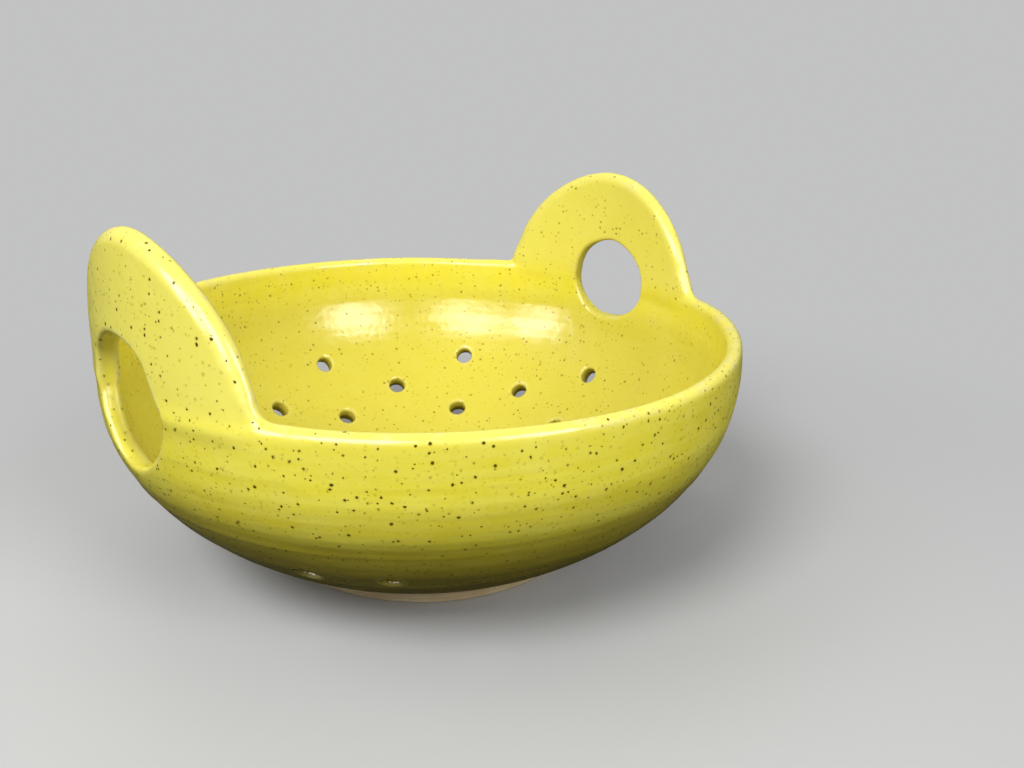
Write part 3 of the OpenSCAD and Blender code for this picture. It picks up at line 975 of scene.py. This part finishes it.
# Lamps that light the bowl, and cards that are seen only in its gloss: azimuth, elevation, width,
# height and power
LAMPS = {
    "key_left": (-165, 46, 0.50, 0.50, 10.5),
    "key_right": (-93, 31, 0.50, 0.50, 6.7),
    "fill_back": (60, 58, 0.90, 0.90, 2.2),
    "fill_side": (145, 42, 0.70, 0.70, 2.8),
}
CARDS = {
    "card_right": (-96, 27, 0.54, 0.66, 9.5),
    "card_near": (-153, 29, 0.66, 0.64, 11.0),
    "card_left": (-187, 24, 0.46, 0.60, 8.5),
}
LAMP_DISTANCE, LAMP_TARGET = 1.15, Vector((0, 0, 0.05))


def shown(shader, mirrored):
    """One where a surface is seen directly, a share where it is mirrored, nought for its light."""
    path = shader.add("LightPath").outputs
    direct = shader.math("MAXIMUM", path["Is Camera Ray"], path["Is Transmission Ray"])
    return shader.math("MAXIMUM", direct, shader.times(path["Is Glossy Ray"], mirrored))


def floor_material():
    """A plain pale floor that fades into the backdrop."""
    s = Shader(bpy.data.materials.new("pale_floor"))
    spot = s.object_place()
    seen = shown(s, FLOOR_MIRRORED)
    pale = s.mix(s.noise(spot, *FLOOR_TONE), FLOOR_PALE, FLOOR_PALER)
    colour = s.mix(seen, FLOOR_DARK, pale)
    bump = s.bump(s.noise(spot, *FLOOR_RELIEF), *FLOOR_BUMP)
    inputs = {"Base Color": colour, "Roughness": FLOOR_ROUGH, "Normal": bump}
    near = s.add("BsdfPrincipled", {}, inputs)
    far = s.add("Emission", {}, {"Color": BACKGROUND, "Strength": 1.0})
    share = s.times(s.span(s.vector("LENGTH", {0: spot}, "Value"), *FLOOR_FADE), seen)
    both = s.add("MixShader", {}, {0: share, 1: near.outputs[0], 2: far.outputs[0]})
    s.add("OutputMaterial", {}, {"Surface": both.outputs[0]})
    return s.owner


def add_floor():
    bm = bmesh.new()
    bmesh.ops.create_circle(bm, cap_ends=True, radius=FLOOR_RADIUS, segments=FLOOR_SIDES)
    floor = placed("floor", mesh_from(bm, "floor"))
    floor.data.materials.append(floor_material())


def add_world():
    world = bpy.data.worlds.new("studio")
    s = Shader(world)
    colour = s.mix(shown(s, WORLD_MIRRORED), WORLD_LIGHT, BACKGROUND)
    light = s.add("Background", {}, {"Color": colour, "Strength": 1.0})
    s.add("OutputWorld", {}, {"Surface": light.outputs[0]})
    bpy.context.scene.world = world


def softbox(name, azimuth, elevation, width, height, power, gloss_only):
    """A soft lamp square on to the bowl."""
    lamp = bpy.data.lights.new(name, "AREA")
    lamp.shape, lamp.size, lamp.size_y, lamp.energy = "ELLIPSE", width, height, power
    c, s = direction(azimuth)
    level, rise = direction(elevation)
    way = Vector((c * level, s * level, rise))
    holder = placed(name, lamp)
    holder.location = LAMP_TARGET + LAMP_DISTANCE * way
    holder.rotation_euler = way.to_track_quat("Z", "Y").to_euler()
    holder.visible_diffuse, holder.visible_glossy = not gloss_only, gloss_only


def add_lamps():
    for lamps, gloss_only in ((LAMPS, False), (CARDS, True)):
        for name, facts in lamps.items():
            softbox(name, *facts, gloss_only)


def add_camera():
    turn, dip, roll = CAMERA_TURN, CAMERA_DIP, CAMERA_ROLL
    level = math.cos(dip)
    ahead = Vector((-math.sin(turn) * level, math.cos(turn) * level, -math.sin(dip)))
    right = Vector((math.cos(turn), math.sin(turn), 0))
    up = right.cross(ahead)
    right, up = (right * math.cos(roll) + up * math.sin(roll),
                 up * math.cos(roll) - right * math.sin(roll))
    camera = bpy.data.cameras.new("camera")
    camera.sensor_fit, camera.sensor_width = "HORIZONTAL", SENSOR
    camera.lens = FOCAL_PIXELS / PICTURE_WIDTH * SENSOR
    camera.clip_start = CLIP_START
    holder = placed("camera", camera)
    axes = Matrix((right, up, -ahead)).transposed().to_4x4()
    holder.matrix_world = Matrix.Translation(Vector(CAMERA_AT) * MM) @ axes
    bpy.context.scene.camera = holder


# The bowl

def finish_piece(piece, material, slot, *nodes):
    piece.data.materials.clear()
    piece.data.materials.append(material)
    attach(piece, "root")
    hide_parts(*nodes)


def add_bowl():
    glaze = Glaze().whole()
    whole = mesh_of("skin", *skin())
    body = glazed_piece("bowl_body", whole, 0)
    right = glazed_piece("right_handle_arch", whole, 1)
    left = glazed_piece("left_handle_arch", whole, -1)
    bpy.data.meshes.remove(whole)
    coils = ("left_outer_coil", "left_inner_coil", "right_outer_coil", "right_inner_coil")
    finish_piece(body, glaze, "yellow_glaze", "bowl", *coils)
    finish_piece(right, glaze, "yellow_glaze", "right_handle")
    finish_piece(left, glaze, "yellow_glaze", "left_handle")


def add_foot():
    foot = placed("turned_foot", mesh_of("turned_foot", *foot_ring()))
    shade_smooth(foot.data)
    finish_piece(foot, bare_clay(), "bare_clay", "foot_ring")


add_bowl()
add_foot()
add_floor()
add_world()
add_lamps()
add_camera()
bpy.context.scene.view_settings.view_transform = "Standard"
